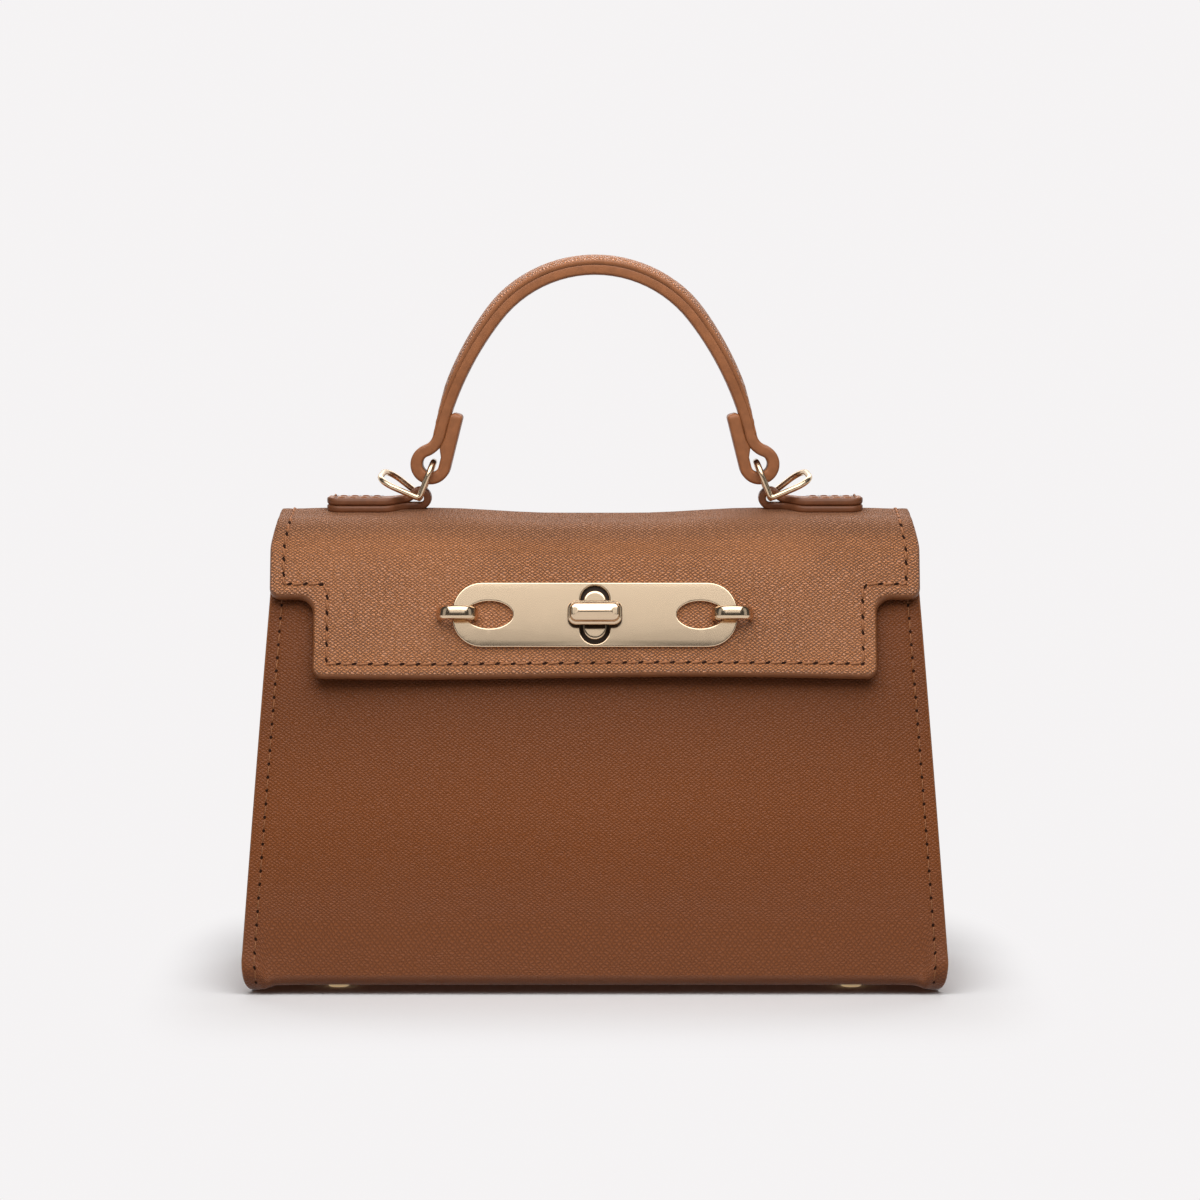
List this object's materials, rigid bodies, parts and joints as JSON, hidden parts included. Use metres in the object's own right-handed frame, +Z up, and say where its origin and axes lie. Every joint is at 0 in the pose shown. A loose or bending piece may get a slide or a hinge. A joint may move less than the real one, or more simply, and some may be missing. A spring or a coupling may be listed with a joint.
{
  "type": "top handle bag",
  "caption": "Small structured leather handbag with a tapered body, stepped flap, turn lock on a polished plate, and an arched top handle hung on double rings.",
  "frame": {"origin": "on the floor under the middle of the bag, between the four feet", "axes": "+Z up, +X to the right seen from the front, -Y out of the front"},
  "size_m": [0.207, 0.089, 0.2156],
  "materials": {
    "leather": "cross-grained brown leather",
    "edge_leather": "brown leather with smooth painted edges",
    "lining_cloth": "plain woven lining",
    "board": "stiff bag board",
    "gilt_metal": "polished pale gilt",
    "steel": "plain zinc"
  },
  "bodies": {
    "bag": {"body_leather": "leather", "base_board": "board", "feet": "gilt_metal", "foot_washers": "steel", "front_stiffener": "board", "back_stiffener": "board", "front_facing": "leather", "back_facing": "leather", "left_gusset": "leather", "right_gusset": "leather", "lining": "lining_cloth", "body_magnets": "steel"},
    "flap": {"flap_leather": "leather", "flap_board": "board", "flap_lining": "lining_cloth", "flap_magnets": "steel", "lock_plate": "gilt_metal", "left_staple": "gilt_metal", "right_staple": "gilt_metal", "staple_washers": "steel", "lock_base": "gilt_metal", "lock_backplate": "steel", "left_handle_tab": "leather", "right_handle_tab": "leather"},
    "knob": {"lock_knob": "gilt_metal", "knob_retainer": "steel"},
    "left_double_ring": {"left_ring": "gilt_metal"},
    "right_double_ring": {"right_ring": "gilt_metal"},
    "handle": {"handle_strap": "edge_leather", "handle_cover": "leather"}
  },
  "joints": [
    {"name": "flap_hinge", "type": "hinge", "parent": "bag", "child": "flap", "pos_m": [0, 0.02398, 0.12769], "axis": [-1, 0, 0], "range_deg": [0, 120]},
    {"name": "knob_turn", "type": "hinge", "parent": "flap", "child": "knob", "pos_m": [0, -0.02975, 0.11], "axis": [0, -0.9681, 0.2504], "range_deg": [0, 90]},
    {"name": "handle_tilt", "type": "hinge", "parent": "flap", "child": "handle", "pos_m": [0, 0.00029, 0.15], "axis": [1, 0, 0], "range_deg": [-9, 9]},
    {"name": "left_ring_swing", "type": "hinge", "parent": "flap", "child": "left_double_ring", "pos_m": [-0.0524, 0.00029, 0.14335], "axis": [0, 1, 0], "range_deg": [-2.5, 2.5]},
    {"name": "right_ring_swing", "type": "hinge", "parent": "flap", "child": "right_double_ring", "pos_m": [0.0524, 0.00029, 0.14335], "axis": [0, 1, 0], "range_deg": [-2.5, 2.5]}
  ]
}
